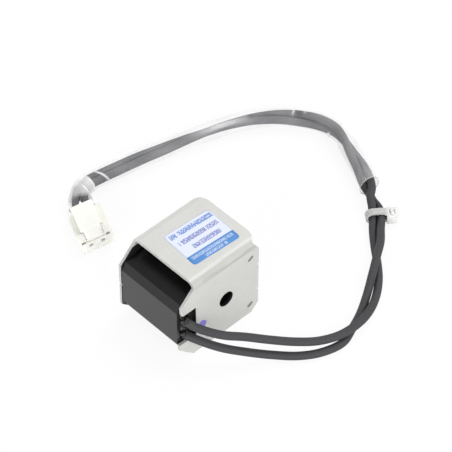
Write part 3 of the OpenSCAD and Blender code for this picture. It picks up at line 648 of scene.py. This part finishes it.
class COIL_OT_stage(bpy.types.Operator):
    """Floor, light and the camera"""

    bl_idname = "coil.stage"
    bl_label = "Stage"

    def execute(self, context):
        scene = context.scene
        scene.view_settings.view_transform = "Standard"
        scene.camera = self.camera()
        self.floor()
        self.backdrop()
        self.world(scene)
        self.lamps()
        return {"FINISHED"}

    @staticmethod
    def camera():
        """A long lens at its azimuth and elevation, rolled about its own axis."""
        camera = link_object("camera", bpy.data.cameras.new("camera"))
        camera.data.sensor_width = SENSOR_WIDTH
        camera.data.lens = LENS
        camera.data.clip_end = CLIP_END
        level = np.array([np.cos(AZIMUTH), np.sin(AZIMUTH), 0.0])
        towards = np.array([np.sin(AZIMUTH), -np.cos(AZIMUTH), 0.0])
        back = np.cos(ELEVATION) * towards + np.sin(ELEVATION) * UP
        upright = np.cross(back, level)
        camera.matrix_world = aimed(level * np.cos(ROLL) + upright * np.sin(ROLL),
                                    upright * np.cos(ROLL) - level * np.sin(ROLL), back, CAMERA_AT)
        return camera

    @staticmethod
    def lamps():
        """Round lamps that face the object."""
        for name, at, size, power in LAMPS:
            lamp = bpy.data.lights.new(name, "AREA")
            lamp.shape = "DISK"
            lamp.size = size
            lamp.energy = power
            back = unit(np.array(at) - LAMPS_AIM)
            side = unit(np.cross(UP, back))
            link_object(name, lamp).matrix_world = aimed(side, np.cross(back, side), back, at)

    @staticmethod
    def plain_white(finish, share, otherwise):
        """Plain white, at a share, for the rays that see the background, and another shader for the rest."""
        path = finish.nodes.new("ShaderNodeLightPath").outputs
        seen = path["Is Camera Ray"]
        for name in ("Is Glossy Ray", "Is Transmission Ray"):
            seen = finish.math("MAXIMUM", seen, path[name])
        white = finish.add("Emission", Color=(1, 1, 1, 1), Strength=1.0)
        mix = finish.nodes.new("ShaderNodeMixShader")
        for socket, value in zip(mix.inputs, (finish.all_of(seen, share), otherwise, white.outputs[0])):
            finish.feed(socket, value)
        finish.feed(finish.nodes["Material Output"].inputs["Surface"], mix.outputs[0])

    def floor(self):
        """A square of matte white, mostly shown as plain white so that only the contact shadows darken it."""
        corners = FLOOR_HALF * np.array([(-1, -1, 0), (1, -1, 0), (1, 1, 0), (-1, 1, 0)]) + FLOOR_LEVEL * UP
        mesh = bpy.data.meshes.new("floor")
        mesh.from_pydata(corners.tolist(), [], [(0, 1, 2, 3)])
        finish = Finish("floor_white", specular=0.0)
        white = finish.mix(finish.clouds(20.0), (0.9, 0.9, 0.9), (0.92, 0.92, 0.92))
        finish.set(Base_Color=white, Roughness=0.9)
        self.plain_white(finish, FLOOR_WHITE, finish.shader.outputs[0])
        floor = link_object("floor", mesh)
        finish.put_on(floor)

    def backdrop(self):
        """A low round wall of plain white beyond the floor: radius (cos turn, sin turn) at two heights.
        Light passes it."""
        turn = round_angles(WALL_SIDES)
        ring = WALL_RADIUS * np.stack([np.cos(turn), np.sin(turn), 0 * turn], axis=1)
        mesh = bpy.data.meshes.new("backdrop")
        mesh.from_pydata(np.vstack([ring, ring + WALL_HEIGHT * UP]).tolist(), [],
                         grid_faces(2, WALL_SIDES, close_cols=True).tolist())
        wall = link_object("backdrop", mesh)
        finish = Finish("backdrop_white")
        self.plain_white(finish, 1.0, finish.add("BsdfTransparent").outputs[0])
        finish.put_on(wall)

    @staticmethod
    def world(scene):
        """Soft light that fades towards the back left."""
        world = bpy.data.worlds.new("studio")
        scene.world = world
        world.use_nodes = True
        graph = Graph(world.node_tree)
        light = graph.nodes["Background"]
        graph.feed(light.inputs["Color"], (1, 1, 1, 1))
        sky = graph.nodes.new("ShaderNodeTexCoord").outputs["Generated"]
        towards = graph.math("DOT_PRODUCT", sky, SKY_TOWARDS, kind="VectorMath")
        graph.feed(light.inputs["Strength"], graph.ramp(towards, *SKY_RANGE, *SKY_STRENGTH))


class COIL_OT_leads(bpy.types.Operator):
    """The two insulated leads, from the moulding to the connector"""

    bl_idname = "coil.leads"
    bl_label = "Leads"

    def execute(self, context):
        diameter = sizes().lead_diameter / MM
        finish = self.skin()
        leads = (("lead_upper", UPPER_ROOT_Z, UPPER_FREE, 0, 1),
                 ("lead_lower", LOWER_ROOT_Z, LOWER_FREE, 180, -1))
        runs = {name: smooth_path(lead_points(root_z, free, turn, side), LEAD_SPACING, diameter / 2)
                for name, root_z, free, turn, side in leads}
        for (name, path), other in zip(runs.items(), reversed(runs.values())):
            points, faces, uv = tube(path, diameter / 2, LEAD_SIDES)
            piece = add_piece(name + "_insulation", points, faces, uv=uv)
            # Painted shade between the leads: how near each point lies to the other lead
            away = np.linalg.norm(points[:, None] - other[None], axis=2).min(axis=1) - diameter / 2
            mouth = np.argmin(np.linalg.norm(path - PAIR_ROUTE[SLEEVE_FIRST], axis=1))
            # Painted light on the leads inside the sleeve, coming in over the first rings past its mouth
            sleeve_light = np.clip((np.arange(len(path)) - mouth) / SLEEVE_LIGHT_RINGS, 0, 1)
            store(piece, groove=np.clip(1 - away / GROOVE_SHADE_WIDTH, 0, 1), sleeved=np.repeat(sleeve_light, LEAD_SIDES))
            finish.put_on(piece)
            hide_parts(name)
        return {"FINISHED"}

    @staticmethod
    def skin():
        """Matt insulation, with painted light inside the sleeve and painted shade in the groove between the
        two leads.
        """
        tone = colour("lead")
        finish = mottled("lead_skin", tone, 0.65, spread=0.14, scale=160.0, grain=1800.0, strength=0.14,
                         distance=0.00005, specular=0.35)
        # Painted light: a lighter copy of the insulation inside the sleeve
        lit_in_sleeve = finish.mix(finish.stored("sleeved"), finish.fed("Base Color"), tint(tone, 2.2))
        # Painted shade in the groove where the two leads face each other
        finish.set(Base_Color=finish.mix(finish.stored("groove"), lit_in_sleeve, tint(tone, 0.05)))
        return finish


class COIL_OT_sleeve(bpy.types.Operator):
    """The clear sleeve over both leads"""

    bl_idname = "coil.sleeve"
    bl_label = "Clear sleeve"

    def execute(self, context):
        radius = sizes().sleeve_diameter / MM / 2
        wall = sizes().sleeve_wall / MM
        route = np.vstack([PAIR_ROUTE[SLEEVE_FIRST:], in_plug(0, SLEEVE_GAP, PLUG_CAVITY_Z)])
        route[0] += MOUTH_SHIFT - MOUTH_REACH * unit(route[1] - route[0])
        path = smooth_path(route, SLEEVE_SPACING)
        run = run_along(path)
        knots = run[np.argmin(np.linalg.norm(path[:, None] - route[None], axis=2), axis=0)]
        pair = np.radians(np.interp(run, knots, [*PAIR_TURN[SLEEVE_FIRST:], PAIR_TURN[-1]]))[:, None]
        angles = round_angles(SLEEVE_SIDES)
        turn = angles[None, :]
        s, end = run[:, None], run[-1]
        outer = self.outline(s, turn, end, pair, radius)
        along, beside, above = frames(path)
        swing = MOUTH_SWING * np.exp(-s / SWING_RUN)
        ring = spokes(np.cos(swing) * beside + np.sin(swing) * along, above, angles)
        # Out along the outer wall, and back along the inner one
        points = np.concatenate([path[:, None] + outer[..., None] * ring,
                                 (path[:, None] + (outer - wall)[..., None] * ring)[::-1]])
        points[..., 2] = np.maximum(points[..., 2], SLEEVE_LOWEST)
        faces = grid_faces(len(points), SLEEVE_SIDES, close_rows=True, close_cols=True)
        piece = add_piece("clear_sleeve_film", points, [faces])
        rim = np.maximum(MOUTH_RIM * (s < RIM_WIDTH), s > end - RIM_WIDTH)
        one_wall = (np.broadcast_to(values, outer.shape) for values in (self.haze(s, turn, end), rim))
        haze, rim = (np.concatenate([values, values[::-1]]) for values in one_wall)
        store(piece, haze=haze, rim=rim)
        self.film().put_on(piece)
        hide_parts("clear_sleeve")
        return {"FINISHED"}

    @staticmethod
    def outline(s, turn, end, pair, radius):
        """Distance of the film from the route, at run s and turn.

        A circle, pressed in across the pair by a few smooth dents, that turns near the connector into
        an ellipse of the same girth whose long axis lies along the pair. A slow ripple is the slack, and
        the open mouth is a little wider. The remainder by the end turns a negative run into one from there.
        """
        dents = sum(depth * np.exp(-((s - at % end) / width) ** 2) for at, depth, width in SLEEVE_DENTS)
        ripple = SLACK * np.sin(0.55 * s + 2 * turn) * np.sin(0.13 * s + 1.0)
        loose = radius + (ripple - dents) * np.sin(turn - pair) ** 2
        a, b = OVAL_LONG * radius, OVAL_SHORT * radius
        oval = a * b / np.sqrt((b * np.cos(turn - pair)) ** 2 + (a * np.sin(turn - pair)) ** 2)
        flared = radius * (1 + MOUTH_FLARE * np.exp(-s / FLARE_RUN))
        past_mouth = np.clip((s - MOUTH_START) / MOUTH_RISE, 0, 1)
        flattened = smooth_step((s - end + OVAL_START) / OVAL_RISE)
        return (flared * (1 - past_mouth) + loose * past_mouth) * (1 - flattened) + oval * flattened

    @staticmethod
    def haze(s, turn, end):
        """Cover of one wall: thin along the tube, thick where it is folded by the connector, with creases and
        a painted highlight streak.

        A crease is a bell curve across the line: run = its place + its skew times the turn.
        """
        cover = np.interp(s / end, *THIN_COVER) + COVER_RIPPLE * np.sin(0.35 * s + turn)
        folded = (smooth_step((s - end + FOLD_START) / FOLD_RISE)
                  * (1 - smooth_step((s - end + FOLD_END) / FOLD_FALL)))
        cover = cover * (1 - folded) + (FOLD_COVER - FOLD_FADE * (s - end + FOLD_START)) * folded
        cover = cover * (1 - CLEAR_SHARE * smooth_step((s - end + CLEAR_START) / CLEAR_RISE))
        # The last entry is a painted highlight: a long, wide band of denser white film
        for at, skew, middle, reach, width, strength in CREASES_AND_HIGHLIGHT:
            around = np.angle(np.exp(1j * (turn - middle)))
            across = (s - at % end - skew * around) / width
            cover = cover + strength * np.exp(-across ** 2 - (around / reach) ** 4)
        cover = np.where((s < RIM_WIDTH) | (s > end - RIM_WIDTH), RIM_COVER, cover)
        return np.clip(cover, *COVER_LIMITS)

    @staticmethod
    def film():
        """Thin clear glossy tube: a white haze from the mesh's own numbers, denser at grazing angles, where
        painted shade also darkens its colour.
        """
        finish = Finish("clear_film")
        tone = colour("film")
        clouds = finish.clouds(90.0)
        facing = finish.add("LayerWeight", Blend=0.3).outputs["Facing"]
        cover = finish.all_of(finish.stored("haze"), finish.ramp(finish.clouds(260.0), 0.0, 1.0, 0.75, 1.25),
                              finish.math("MULTIPLY_ADD", facing, 0.4, 1.0))
        # Painted shade: the film's colour goes darker towards its outline
        grazing_shade = finish.ramp(facing, 0.7, 1.0, 0.0, 0.6)
        clear = finish.mix(grazing_shade, finish.shades(clouds, tone, 0.98, 1.0), tint(tone, 0.6))
        finish.set(Base_Color=finish.mix(finish.stored("rim"), clear, tint(tone, 0.2)),
                   Alpha=finish.math("MINIMUM", cover, 0.95))
        finish.rough(clouds, 0.14, 0.3)
        finish.grain(500.0, 0.1, 0.0001)
        return finish


class COIL_OT_tie(bpy.types.Operator):
    """The cable tie's finish, with painted shade on its band and painted light in the head's slits"""

    bl_idname = "coil.tie"
    bl_label = "Cable tie"

    def execute(self, context):
        tie = Finish("tie_nylon")
        tone = colour("tie")
        clouds = tie.clouds(300.0)
        x, y, z = tie.axes()
        share_x, share_y = TIE_AXIS
        across = tie.math("MULTIPLY_ADD", x, share_x, tie.math("MULTIPLY", y, share_y))
        along = tie.math("MULTIPLY_ADD", x, -share_y, tie.math("MULTIPLY", y, share_x))
        from_tail = tie.math("ABSOLUTE", tie.math("SUBTRACT", across, TIE_TAIL * MM))
        # Painted shade: the band is a darker copy of the head's nylon
        lit_head = tie.ramp(across, *metres(TIE_HEAD))
        nylon = tie.mix(lit_head, tie.shades(clouds, tone, 0.62, 0.68), tie.shades(clouds, tone, 0.97, 1.02))
        # Painted light: the head's slits are painted white against their own shade
        lit_slits = tie.in_box((from_tail, along, z), TIE_SLITS_LIT)
        tie.set(Base_Color=tie.mix(lit_slits, nylon, (1.0, 1.0, 1.0)), Subsurface_Weight=0.3,
                Subsurface_Radius=(0.001, 0.001, 0.001), Subsurface_Scale=1.0)
        tie.rough(clouds, 0.36, 0.448)
        tie.grain(1500.0, 0.15, 0.00004)
        tie.put_on(soften_edges(NODES["cable_tie"], sizes().tie_edge))
        return {"FINISHED"}


class COIL_OT_yoke(bpy.types.Operator):
    """The folded yoke's finish, with painted shade in its marks, hollows and front bend, and the ink dot on
    its front leg
    """

    bl_idname = "coil.yoke"
    bl_label = "Yoke"

    def execute(self, context):
        zinc = Finish("zinc_sheet", metallic=0.3)
        tone = colour("zinc")
        clouds = zinc.clouds(130.0)
        x, y, z = zinc.axes()
        # Painted shade on the wall of the screw hole
        from_hole = zinc.add("CombineXYZ", X=zinc.math("SUBTRACT", x, SCREW_HOLE_X * MM),
                             Z=zinc.math("SUBTRACT", z, SCREW_HOLE_Z * MM)).outputs[0]
        hole_shade = zinc.math("LESS_THAN", zinc.math("LENGTH", from_hole, kind="VectorMath"), SCREW_HOLE_R * MM)
        # Painted shade on the inside of the rear leg, lighter towards its left edge
        rear_leg_shade = zinc.all_of(zinc.ramp(x, *metres(REAR_LEG_X), 0.8, 1.0), zinc.in_box((y, z), SHADED_REAR_LEG))
        # Painted shade along the front bend, with streaks of draw marks in it
        at_bend = zinc.all_of(zinc.ramp(y, *metres(BEND_Y)), zinc.ramp(z, *metres(BEND_Z)))
        drawn_out = zinc.add("Mapping", Vector=zinc.place, Scale=(0.04, 1.0, 1.0)).outputs[0]
        bend_shade_and_marks = zinc.ramp(zinc.noise(drawn_out, 1300.0, 2.0), 0.5, 0.62, 0.35, 0.8)
        plating_and_shade = zinc.shades(clouds, tone, 0.92, 1.06)
        # Real hairline scratches, then painted shade: in the punch marks, on the rear leg's inside, on the
        # notch's wall, along the front bend with its draw marks, and in the screw hole
        for mask, shade in ((zinc.all_of(zinc.use(scratch_group(), "Mask"), 0.35), 0.6),
                            (zinc.all_of(zinc.in_box((x, y, z), SHADED_PUNCH_MARKS), 0.8), 0.3),
                            (rear_leg_shade, 0.03),
                            (zinc.in_box((x, y, z), SHADED_NOTCH_WALL), 0.03),
                            (zinc.all_of(at_bend, bend_shade_and_marks), 0.62),
                            (hole_shade, 0.02)):
            plating_and_shade = zinc.mix(mask, plating_and_shade, tint(tone, shade))
        zinc.set(Base_Color=plating_and_shade)
        zinc.rough(clouds, 0.38, 0.52)
        zinc.grain(1400.0, 0.1, 0.00004)
        zinc.put_on(soften_edges(NODES["yoke"], sizes().sheet_edge, angle=20))
        self.ink_dot()
        return {"FINISHED"}

    @staticmethod
    def ink_dot():
        """A thin dab of ink: rings from the middle to an uneven edge, whose height falls as 1 - rho rho,
        where rho is the share of the way to the edge."""
        rings, sides = 8, 40
        rho = np.linspace(1 / rings, 1, rings)[:, None]
        turn = round_angles(sides)[None, :]
        edge = DOT_RADIUS * (1 + 0.07 * np.sin(3 * turn + 0.6) + 0.04 * np.sin(5 * turn))
        x = rho * edge * np.cos(turn)
        z = DOT_STRETCH * rho * edge * np.sin(turn) - DOT_SLANT * x
        y = DOT_FACE - DOT_HEIGHT * (1 - rho**2)
        points = np.stack(np.broadcast_arrays(DOT_X + x, y, DOT_Z + z), axis=-1)
        dot = add_piece("ink_dot", points, capped_grid(rings, sides))
        mottled("ink", colour("ink"), 0.5, spread=0.15, scale=500.0).put_on(dot)


class COIL_OT_moulding(bpy.types.Operator):
    """The black coil moulding, and the beads of resin round the roots of the leads"""

    bl_idname = "coil.moulding"
    bl_label = "Moulding"

    def execute(self, context):
        black = mottled("black_moulding", colour("moulding"), 0.2, spread=0.12, scale=120.0, grain=2200.0,
                        strength=0.2, distance=0.00005, sheen=(1.0, 1.35))
        x, y, z = black.axes()
        in_pocket = black.all_of(black.in_box((x, z), POCKET), black.math("LESS_THAN", y, POCKET_BACK * MM))
        black.set(Roughness=black.math("MAXIMUM", black.fed("Roughness"), in_pocket))
        black.put_on(soften_edges(NODES["coil_moulding"], sizes().moulding_edge))
        resin = mottled("root_resin", (0.003, 0.003, 0.003), 0.22, spread=0.8, scale=600.0, grain=900.0,
                        strength=0.9, distance=0.0005)
        for name, centre, radii, phase in RESIN_BEADS:
            piece = self.bead(name, centre, radii, phase)
            resin.put_on(piece)
        return {"FINISHED"}

    @staticmethod
    def bead(name, centre, radii, phase):
        """A lumpy ball: centre + radii . direction . (1 + a sum of three waves in its two angles)."""
        rows, sides = 22, 36
        pole = 0.06
        tilt = np.linspace(pole, np.pi - pole, rows)[:, None]
        turn = round_angles(sides)[None, :]
        lump = (1 + 0.12 * np.sin(3 * turn + phase) * np.sin(2 * tilt)
                + 0.08 * np.sin(5 * tilt + 2 * turn + phase) + 0.05 * np.sin(7 * turn - 4 * tilt))
        ball = np.broadcast_arrays(np.sin(tilt) * np.cos(turn), np.sin(tilt) * np.sin(turn), np.cos(tilt))
        points = np.array(centre) + np.array(radii) * np.stack(ball, axis=-1) * lump[..., None]
        return add_piece(name, points, capped_grid(rows, sides))


class COIL_OT_label(bpy.types.Operator):
    """The paper label on the top plate, with a printed band and rows of strokes"""

    bl_idname = "coil.label"
    bl_label = "Label"

    def execute(self, context):
        # Rings from the middle to the outline, which dip by a slow wave times rho to the power of 4, where
        # rho is the share of the way to the outline, and one more ring straight below the outline
        edge = self.rounded_outline(LABEL_LENGTH / 2, LABEL_WIDTH / 2, LABEL_CORNER)
        rho = np.linspace(1 / LABEL_RINGS, 1, LABEL_RINGS)[:, None]
        face = rho[..., None] * edge[None]
        wave = 1 + np.sin(face[..., 0] * 0.7 + 1.0) * np.sin(face[..., 1] * 0.9)
        height = LABEL_TOP - LABEL_WAVE * wave * rho**4
        sheet = np.concatenate([np.concatenate([face, height[..., None]], axis=-1),
                                np.concatenate([edge, np.full((len(edge), 1), LABEL_BOTTOM)], axis=-1)[None]])
        x, y, z = np.moveaxis(sheet, -1, 0)
        cos, sin = np.cos(LABEL_TURN), np.sin(LABEL_TURN)
        points = np.stack([LABEL_X + x * cos - y * sin, LABEL_Y + x * sin + y * cos, z], axis=-1)
        uv = sheet[..., :2].reshape(-1, 2) / (LABEL_LENGTH, LABEL_WIDTH) + 0.5
        piece = add_piece("label_sheet", points, capped_grid(*sheet.shape[:2]), uv=uv)
        self.paper().put_on(piece)
        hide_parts("label")
        return {"FINISHED"}

    @staticmethod
    def rounded_outline(half_x, half_y, corner, count=120):
        """Outline of a rectangle with round corners: points round the rectangle, pulled onto a core that is
        smaller by the corner's radius, and moved out by that radius."""
        t = np.linspace(0, 8, count, endpoint=False)
        x, y = (np.clip(np.abs((t + start) % 8 - 4) - 2, -1, 1) for start in (2, 0))
        box = np.stack([half_x * x, half_y * y], axis=1)
        core = np.clip(box, (corner - half_x, corner - half_y), (half_x - corner, half_y - corner))
        return core + corner * unit(box - core)

    @staticmethod
    def paper():
        """Coated white paper with a blue band along the front and rows of strokes that spell nothing."""
        paper = Finish("label_paper", coordinates="UV")
        white, blue = colour("paper"), colour("band")
        clouds = paper.clouds(9.0)
        tone = paper.shades(clouds, white, 0.97, 1.02)

        def printed(under, strength, ink, centre, half, start, stop):
            """A row of strokes over what is there."""
            mask = paper.use(print_row_group(), "Mask", Centre=centre, Half_Height=half, Start=start,
                             End=stop)
            return paper.mix(paper.all_of(mask, strength), under, ink)

        for *row, ink in PAPER_ROWS:
            tone = printed(tone, 0.85, ink, *row)
        tone = paper.mix(paper.ramp(paper.axes()["Y"], *BAND_EDGE, 1.0, 0.0), tone, blue)
        for row in BAND_ROWS:
            tone = printed(tone, 0.55, white, *row)
        paper.set(Base_Color=tone)
        paper.rough(clouds, 0.3, 0.42)
        paper.grain(160.0, 0.08, 0.00003)
        return paper


class COIL_OT_connector(bpy.types.Operator):
    """The connector's housing and latch lever, with painted shade in its front windows and painted light in
    its contact mouths
    """

    bl_idname = "coil.connector"
    bl_label = "Connector"

    def execute(self, context):
        nylon = mottled("white_nylon", colour("plug"), 0.38, spread=0.025, scale=220.0, grain=1800.0)
        nylon.set(Subsurface_Weight=0.4, Subsurface_Radius=(0.003, 0.003, 0.0027), Subsurface_Scale=1.0)
        inside = nylon.add("Mapping", Vector=nylon.place, Location=in_plug(0, 0, 0) * MM,
                           Rotation=(0.0, -PLUG_LEAN, -PLUG_TURN))
        inside.vector_type = "TEXTURE"
        x, y, z = nylon.add("SeparateXYZ", Vector=inside.outputs[0]).outputs
        axes = (nylon.math("ABSOLUTE", x), y, z)
        # Painted shade in the front windows, and painted light that whitens the contact mouths
        skin = nylon.mix(nylon.in_box(axes, SHADED_WINDOWS), nylon.fed("Base Color"), (0.58, 0.54, 0.46))
        nylon.set(Base_Color=nylon.mix(nylon.in_box(axes, LIT_CONTACT_MOUTHS), skin, (1.0, 1.0, 0.97)))
        for name in ("connector_housing", "latch_lever"):
            nylon.put_on(soften_edges(NODES[name], sizes().plug_edge))
        return {"FINISHED"}


class COIL_OT_inner(bpy.types.Operator):
    """Finishes of the pieces inside: bobbin, winding, flux sleeve, splices and contacts"""

    bl_idname = "coil.inner"
    bl_label = "Inner pieces"

    def execute(self, context):
        looks = (
            ("bobbin_resin", (0.03, 0.028, 0.026), 0.55, 0.0, ("bobbin",)),
            ("tape", (0.7, 0.5, 0.1), 0.3, 0.0, ("winding_tape",)),
            ("flux_steel", (0.01, 0.01, 0.0105), 0.7, 0.2, ("flux_sleeve",)),
            ("tinned_brass", (0.9, 0.88, 0.83), 0.45, 0.4,
             ("splice_upper", "splice_lower", "strands_coil_end", "contact_left", "contact_right",
              "strands_plug_end")),
            ("fibre_tube", (0.72, 0.67, 0.52), 0.8, 0.0, ("splice_cover_upper", "splice_cover_lower")),
        )
        for name, tone, roughness, metallic, nodes in looks:
            mottled(name, tone, roughness, metallic=metallic, specular=0.3).put_on(*(NODES[n] for n in nodes))
        copper = mottled("copper", (0.62, 0.26, 0.12), 0.35, metallic=0.9)
        turns = copper.add("TexWave", Vector=copper.place, Scale=500.0, Distortion=0.6)
        turns.bands_direction = "Y"
        copper.bump(turns.outputs["Fac"], 0.6, 0.0002)
        copper.put_on(*(NODES[n] for n in ("winding", "winding_tail_upper", "winding_tail_lower")))
        return {"FINISHED"}


class COIL_PT_panel(bpy.types.Panel):
    """Lists the steps that dress the coil"""

    bl_idname = "COIL_PT_panel"
    bl_label = "Reversing valve coil"
    bl_space_type = "VIEW_3D"
    bl_region_type = "UI"
    bl_category = "Coil"

    def draw(self, context):
        for operator in OPERATORS:
            self.layout.operator(operator.bl_idname)
        for group in (context.scene.coil_sizes, context.scene.coil_colours):
            for name in group.__annotations__:
                self.layout.prop(group, name)


OPERATORS = (COIL_OT_stage, COIL_OT_leads, COIL_OT_sleeve, COIL_OT_tie, COIL_OT_yoke, COIL_OT_moulding,
             COIL_OT_label, COIL_OT_connector, COIL_OT_inner)
CLASSES = (CoilSizes, CoilColours, *OPERATORS, COIL_PT_panel)


def register():
    """Adds the classes, and the sizes and colours of a scene."""
    for cls in CLASSES:
        bpy.utils.register_class(cls)
    bpy.types.Scene.coil_sizes = bpy.props.PointerProperty(type=CoilSizes)
    bpy.types.Scene.coil_colours = bpy.props.PointerProperty(type=CoilColours)


def unregister():
    """Takes away what register added."""
    del bpy.types.Scene.coil_colours
    del bpy.types.Scene.coil_sizes
    for cls in reversed(CLASSES):
        bpy.utils.unregister_class(cls)


def main():
    """Dresses the frame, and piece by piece."""
    register()
    bpy.ops.coil.stage()
    bpy.ops.coil.leads()
    bpy.ops.coil.sleeve()
    bpy.ops.coil.tie()
    bpy.ops.coil.yoke()
    bpy.ops.coil.moulding()
    bpy.ops.coil.label()
    bpy.ops.coil.connector()
    bpy.ops.coil.inner()


if __name__ == "__main__":
    main()
